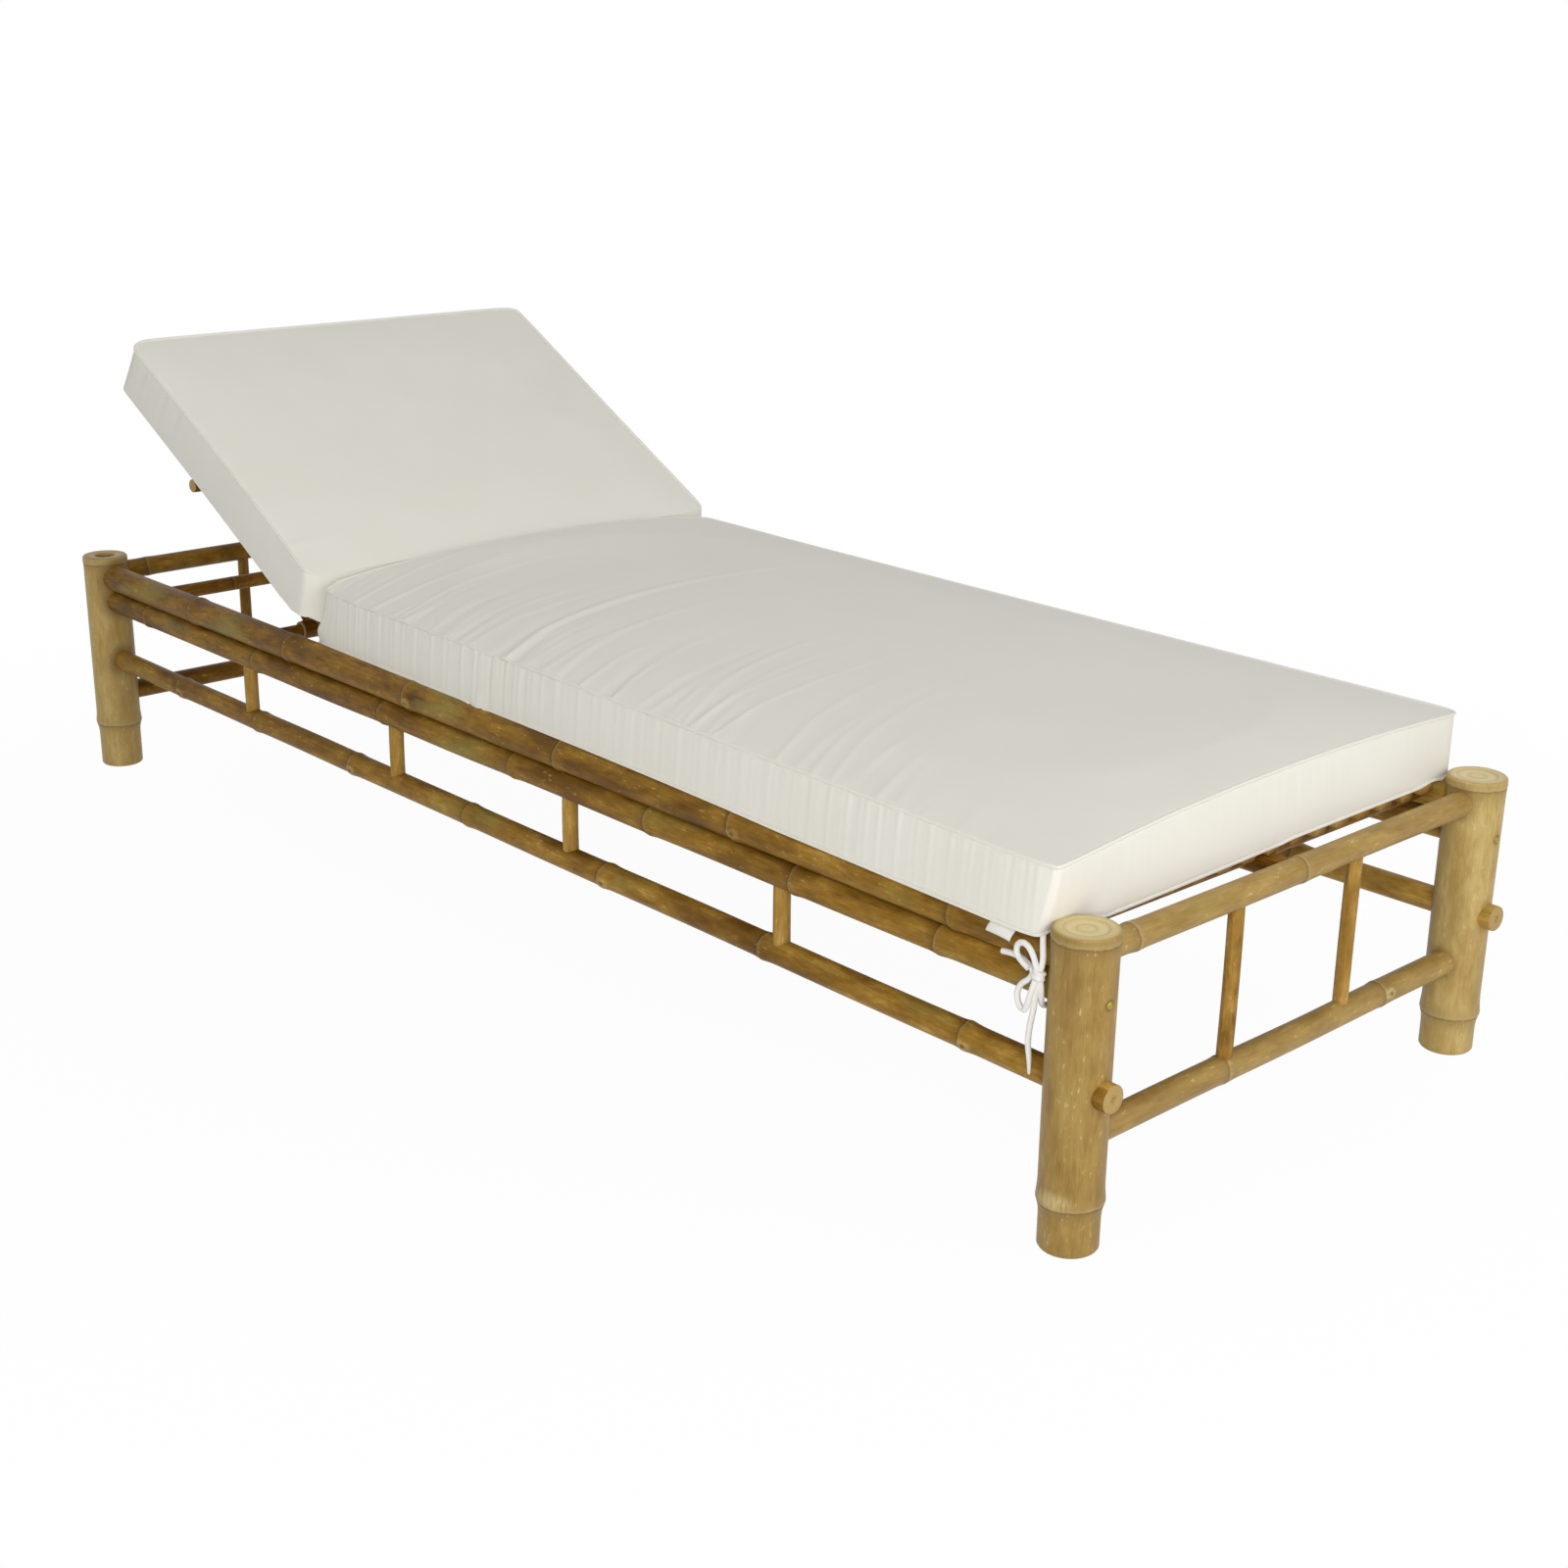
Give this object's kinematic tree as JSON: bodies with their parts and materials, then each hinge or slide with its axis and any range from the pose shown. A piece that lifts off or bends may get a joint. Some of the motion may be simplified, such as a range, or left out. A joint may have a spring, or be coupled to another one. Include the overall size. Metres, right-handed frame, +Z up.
{
  "type": "bamboo sun lounger",
  "caption": "Low bamboo sun lounger: stout posts, stacked side rails with spindles, a slatted deck, a hinged backrest on a swinging prop, and white box cushions.",
  "frame": {"origin": "on the floor at the centre of the footprint", "axes": "+X from the head end to the foot end, +Y from the near side (with the tie) to the far side, +Z up"},
  "size_m": [2.03, 0.7412, 0.6651],
  "materials": {
    "post_bamboo": "varnished culm",
    "rail_bamboo": "varnished culm",
    "spindle_bamboo": "varnished culm",
    "pole_bamboo": "varnished culm",
    "slat_bamboo": "split culm",
    "screw_brass": "dull",
    "cushion_fabric": "woven cotton",
    "tie_fabric": "sewn tape"
  },
  "bodies": {
    "frame": {"post_foot_near": "post_bamboo", "foot_spindle_near": "spindle_bamboo", "post_foot_far": "post_bamboo", "foot_spindle_far": "spindle_bamboo", "foot_top_rail": "rail_bamboo", "foot_low_rail": "rail_bamboo", "post_head_near": "post_bamboo", "head_spindle_near": "spindle_bamboo", "post_head_far": "post_bamboo", "head_spindle_far": "spindle_bamboo", "head_top_rail": "rail_bamboo", "head_low_rail": "rail_bamboo", "seat_rear_pole": "pole_bamboo", "upper_rail_near": "rail_bamboo", "middle_rail_near": "rail_bamboo", "lower_rail_near": "rail_bamboo", "side_spindle_near_1": "spindle_bamboo", "side_spindle_near_2": "spindle_bamboo", "side_spindle_near_3": "spindle_bamboo", "side_spindle_near_4": "spindle_bamboo", "seat_cross_pole_near_1": "pole_bamboo", "seat_cross_pole_near_2": "pole_bamboo", "seat_cross_pole_near_3": "pole_bamboo", "upper_rail_far": "rail_bamboo", "middle_rail_far": "rail_bamboo", "lower_rail_far": "rail_bamboo", "side_spindle_far_1": "spindle_bamboo", "side_spindle_far_2": "spindle_bamboo", "side_spindle_far_3": "spindle_bamboo", "side_spindle_far_4": "spindle_bamboo", "seat_cross_pole_far_1": "pole_bamboo", "seat_cross_pole_far_2": "pole_bamboo", "seat_cross_pole_far_3": "pole_bamboo", "centre_pole": "pole_bamboo", "hinge_pole": "pole_bamboo", "prop_pivot_pole": "pole_bamboo", "head_cross_pole": "pole_bamboo", "seat_slats": "slat_bamboo", "post_screws": "screw_brass", "seat_cushion": "cushion_fabric", "tie_cord_tail": "tie_fabric", "tie_cord_wrap": "tie_fabric", "tie_cord_loop": "tie_fabric", "tie_knot": "tie_fabric"},
    "backrest": {"hinge_tube": "pole_bamboo", "back_stile_near": "pole_bamboo", "notch_block_near": "slat_bamboo", "back_stile_far": "pole_bamboo", "notch_block_far": "slat_bamboo", "back_cross_pole_1": "pole_bamboo", "back_cross_pole_2": "pole_bamboo", "back_cross_pole_3": "pole_bamboo", "back_cross_pole_4": "pole_bamboo", "back_slats": "slat_bamboo", "back_cushion": "cushion_fabric"},
    "prop": {"prop_sleeve": "pole_bamboo", "prop_leg_near": "pole_bamboo", "prop_leg_far": "pole_bamboo", "prop_top_bar": "pole_bamboo"}
  },
  "joints": [
    {"name": "backrest_hinge", "type": "hinge", "parent": "frame", "child": "backrest", "pos_m": [-0.375, 0, 0.3], "axis": [0, 1, 0], "range_deg": [-28.75, 15]},
    {"name": "prop_swing", "type": "hinge", "parent": "frame", "child": "prop", "pos_m": [-0.56, 0, 0.2807], "axis": [0, 1, 0], "range_deg": [-48, 25.1]}
  ],
  "couplings": [
    {"joint": "prop_swing", "follows": "backrest_hinge", "ratio": 1.6676}
  ]
}
